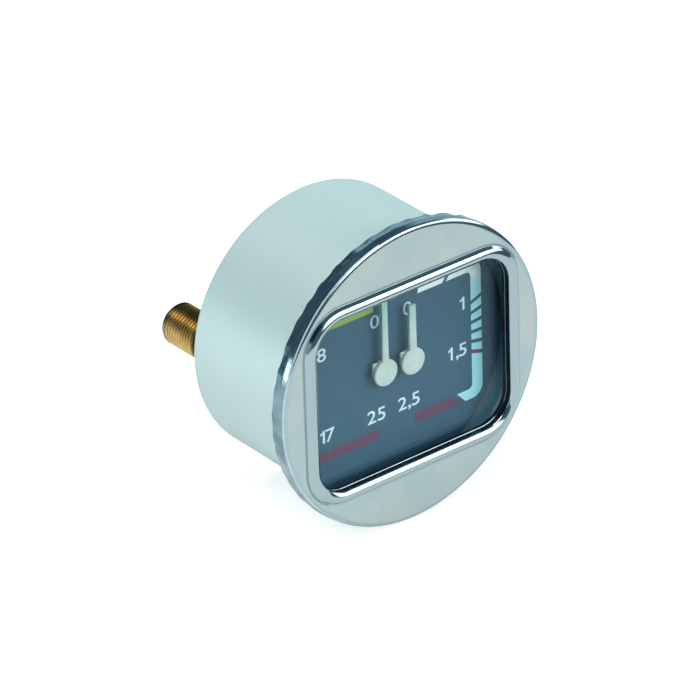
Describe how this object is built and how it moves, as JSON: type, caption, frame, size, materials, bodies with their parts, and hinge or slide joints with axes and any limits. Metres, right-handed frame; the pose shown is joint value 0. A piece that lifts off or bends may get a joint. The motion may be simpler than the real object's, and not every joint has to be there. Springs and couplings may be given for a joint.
{
  "type": "pressure gauge",
  "caption": "Twin panel pressure gauge: two Bourdon tube movements and pointers behind a rectangular window, with rear threaded ports.",
  "frame": {"origin": "on the case axis, in the plane where the bezel's rear lip meets the panel", "axes": "+Y backwards along the case to the ports, +Z to twelve o'clock on the dial, +X to the right as the dial is read"},
  "size_m": [0.0712, 0.0535, 0.0712],
  "materials": {
    "case_steel": "satin drawn sheet, pale silver",
    "bezel_steel": "stamped and polished, satin on its flat face",
    "seal_rubber": "moulded black rubber",
    "lens_glass": "clear flat glass",
    "dial_paint": "matt dark blue-grey paint",
    "band_light": "pale blue printed ink",
    "band_red": "dark red printed ink",
    "band_yellow": "yellow-green printed ink",
    "movement_brass": "machined brass",
    "socket_brass": "turned brass, threaded port",
    "screw_steel": "zinc plated steel",
    "tube_bronze": "drawn phosphor bronze",
    "shaft_steel": "turned steel",
    "spring_steel": "blued strip",
    "pointer_plastic": "moulded off-white plastic"
  },
  "bodies": {
    "housing": {"case": "case_steel", "bezel": "bezel_steel", "lens_gasket": "seal_rubber", "lens": "lens_glass", "dial_plate": "dial_paint", "dial_bands_light": "band_light", "dial_bands_red": "band_red", "dial_band_yellow": "band_yellow", "dial_posts": "movement_brass", "dial_screws": "screw_steel", "front_plate": "movement_brass", "rear_plate": "movement_brass", "pillars": "movement_brass", "pillar_screws": "screw_steel", "pump_socket": "socket_brass", "boiler_socket": "socket_brass", "socket_screws": "screw_steel", "plate_screws": "screw_steel", "restrictors": "movement_brass", "pump_bourdon_tube": "tube_bronze", "boiler_bourdon_tube": "tube_bronze", "pump_hairspring": "spring_steel", "boiler_hairspring": "spring_steel", "pump_spring_stud": "movement_brass", "boiler_spring_stud": "movement_brass"},
    "pump_pointer_group": {"pump_pointer": "pointer_plastic", "pump_arbor": "shaft_steel", "pump_collet": "movement_brass"},
    "pump_sector_group": {"pump_sector": "movement_brass", "pump_sector_arbor": "shaft_steel", "pump_tail_pin": "shaft_steel"},
    "pump_tube_end_group": {"pump_tube_end": "movement_brass"},
    "pump_link_group": {"pump_link": "shaft_steel"},
    "boiler_pointer_group": {"boiler_pointer": "pointer_plastic", "boiler_arbor": "shaft_steel", "boiler_collet": "movement_brass"},
    "boiler_sector_group": {"boiler_sector": "movement_brass", "boiler_sector_arbor": "shaft_steel", "boiler_tail_pin": "shaft_steel"},
    "boiler_tube_end_group": {"boiler_tube_end": "movement_brass"},
    "boiler_link_group": {"boiler_link": "shaft_steel"}
  },
  "joints": [
    {"name": "pump_pointer_turn", "type": "hinge", "parent": "housing", "child": "pump_pointer_group", "pos_m": [-0.0039, 0.0149, 0], "axis": [0, -1, 0], "range_deg": [0, 180], "stiffness_Nm_per_rad": 0.0002, "springref_deg": -17.19, "deforming": ["pump_hairspring"]},
    {"name": "pump_sector_turn", "type": "hinge", "parent": "housing", "child": "pump_sector_group", "pos_m": [-0.0039, 0.0149, -0.018], "axis": [0, -1, 0], "range_deg": [-20, 0]},
    {"name": "pump_tube_end_swing", "type": "hinge", "parent": "housing", "child": "pump_tube_end_group", "pos_m": [0.00253, 0.0229, 0.01693], "axis": [0, 1, 0], "range_deg": [0, 6.24], "deforming": ["pump_bourdon_tube"]},
    {"name": "pump_link_swing", "type": "hinge", "parent": "pump_tube_end_group", "child": "pump_link_group", "pos_m": [-0.0162, 0.0155, 0.00712], "axis": [0, -1, 0], "range_deg": [0, 7.17]},
    {"name": "boiler_pointer_turn", "type": "hinge", "parent": "housing", "child": "boiler_pointer_group", "pos_m": [0.0039, 0.0149, 0], "axis": [0, 1, 0], "range_deg": [0, 180], "stiffness_Nm_per_rad": 0.0002, "springref_deg": -17.19, "deforming": ["boiler_hairspring"]},
    {"name": "boiler_sector_turn", "type": "hinge", "parent": "housing", "child": "boiler_sector_group", "pos_m": [0.0039, 0.0149, -0.018], "axis": [0, 1, 0], "range_deg": [-20, 0]},
    {"name": "boiler_tube_end_swing", "type": "hinge", "parent": "housing", "child": "boiler_tube_end_group", "pos_m": [-0.00253, 0.0165, 0.01693], "axis": [0, -1, 0], "range_deg": [0, 6.24], "deforming": ["boiler_bourdon_tube"]},
    {"name": "boiler_link_swing", "type": "hinge", "parent": "boiler_tube_end_group", "child": "boiler_link_group", "pos_m": [0.0162, 0.0155, 0.00712], "axis": [0, 1, 0], "range_deg": [0, 7.17]}
  ],
  "couplings": [
    {"joint": "pump_sector_turn", "follows": "pump_pointer_turn", "ratio": -0.11111},
    {"joint": "pump_tube_end_swing", "follows": "pump_pointer_turn", "ratio": 0.034664},
    {"joint": "pump_link_swing", "follows": "pump_pointer_turn", "ratio": 0.039822},
    {"joint": "boiler_sector_turn", "follows": "boiler_pointer_turn", "ratio": -0.11111},
    {"joint": "boiler_tube_end_swing", "follows": "boiler_pointer_turn", "ratio": 0.034664},
    {"joint": "boiler_link_swing", "follows": "boiler_pointer_turn", "ratio": 0.039822}
  ]
}
